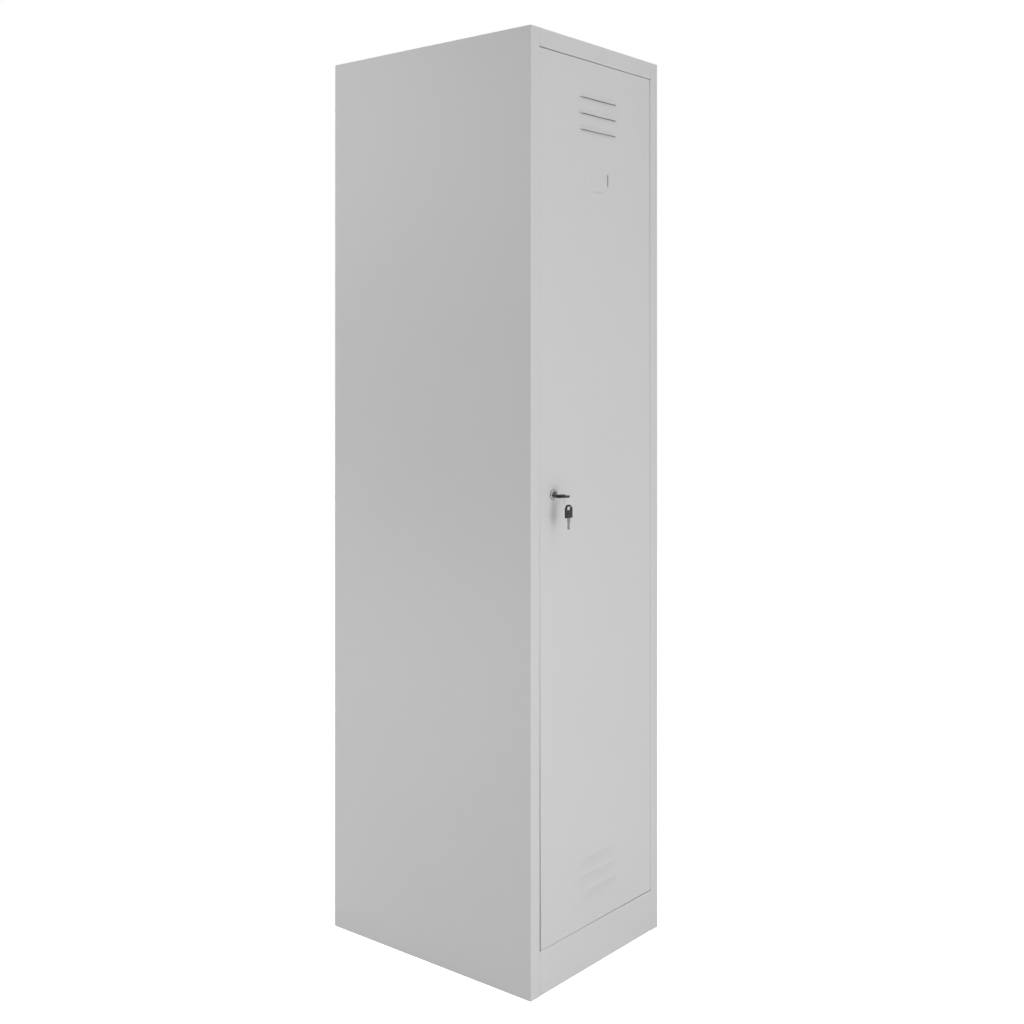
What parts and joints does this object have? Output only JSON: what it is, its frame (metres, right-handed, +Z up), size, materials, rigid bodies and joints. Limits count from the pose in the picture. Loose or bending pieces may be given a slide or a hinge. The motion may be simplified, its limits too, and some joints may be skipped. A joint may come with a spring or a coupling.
{
  "type": "single door locker",
  "caption": "Tall sheet steel clothes locker with one pan door, pressed louvres, card holder, cam lock with keys, hat shelf and clothes rail.",
  "frame": {"origin": "on the floor, at the middle of the box that holds the locker with its keys", "axes": "+X to the right seen from the front, +Y from the door to the back, +Z up"},
  "size_m": [0.425, 0.5726, 1.8],
  "materials": {
    "grey_paint": "light grey powder coat, satin",
    "nickel_plate": "bright nickel",
    "bright_steel": "bright zinc plated",
    "black_plastic": "moulded, matt",
    "grey_nylon": "moulded, plain",
    "black_rubber": "soft, matt"
  },
  "bodies": {
    "cabinet": {"side_panel_left": "grey_paint", "side_panel_right": "grey_paint", "header_rail": "grey_paint", "plinth": "grey_paint", "top_panel": "grey_paint", "bottom_panel": "grey_paint", "back_panel": "grey_paint", "hat_shelf": "grey_paint", "shelf_rest_left": "grey_paint", "shelf_rest_right": "grey_paint", "rail_socket_left": "black_plastic", "rail_socket_right": "black_plastic", "clothes_rail": "bright_steel", "door_buffer_upper": "black_rubber", "door_buffer_lower": "black_rubber", "hinge_bush_upper": "grey_nylon", "hinge_bush_lower": "grey_nylon"},
    "door": {"door_panel": "grey_paint", "door_stiffener": "grey_paint", "pivot_plate_upper": "grey_paint", "pivot_plate_lower": "grey_paint", "hinge_pin_upper": "bright_steel", "hinge_pin_lower": "bright_steel", "lock_housing": "nickel_plate", "lock_nut": "bright_steel"},
    "lock_barrel": {"lock_plug": "nickel_plate", "lock_cam": "bright_steel", "cam_screw": "bright_steel"},
    "key": {"key_blade": "bright_steel", "key_bow": "black_plastic"},
    "ring": {"key_ring": "bright_steel"},
    "spare_key": {"spare_key_blade": "bright_steel", "spare_key_bow": "black_plastic"},
    "hook_1": {"coat_hook_1": "bright_steel"},
    "hook_2": {"coat_hook_2": "bright_steel"},
    "hook_3": {"coat_hook_3": "bright_steel"}
  },
  "joints": [
    {"name": "door_hinge", "type": "hinge", "parent": "cabinet", "child": "door", "pos_m": [0.1753, -0.2334, 0.9], "axis": [0, 0, 1], "range_deg": [0, 110]},
    {"name": "lock_turn", "type": "hinge", "parent": "door", "child": "lock_barrel", "pos_m": [-0.1445, -0.2387, 0.928], "axis": [0, 1, 0], "range_deg": [0, 90]},
    {"name": "key_pull", "type": "slide", "parent": "lock_barrel", "child": "key", "axis": [0, -1, 0], "range_m": [0, 0.02]},
    {"name": "ring_swing", "type": "hinge", "parent": "key", "child": "ring", "pos_m": [-0.1445, -0.2747, 0.92903], "axis": [0, 1, 0], "range_deg": [-30, 30]},
    {"name": "spare_key_swing", "type": "hinge", "parent": "ring", "child": "spare_key", "pos_m": [-0.1445, -0.2747, 0.90703], "axis": [0, 1, 0], "range_deg": [-60, 60]},
    {"name": "hook_slide_1", "type": "slide", "parent": "cabinet", "child": "hook_1", "axis": [1, 0, 0], "range_m": [-0.035, 0.035]},
    {"name": "hook_slide_2", "type": "slide", "parent": "cabinet", "child": "hook_2", "axis": [1, 0, 0], "range_m": [-0.035, 0.035]},
    {"name": "hook_slide_3", "type": "slide", "parent": "cabinet", "child": "hook_3", "axis": [1, 0, 0], "range_m": [-0.035, 0.035]}
  ]
}
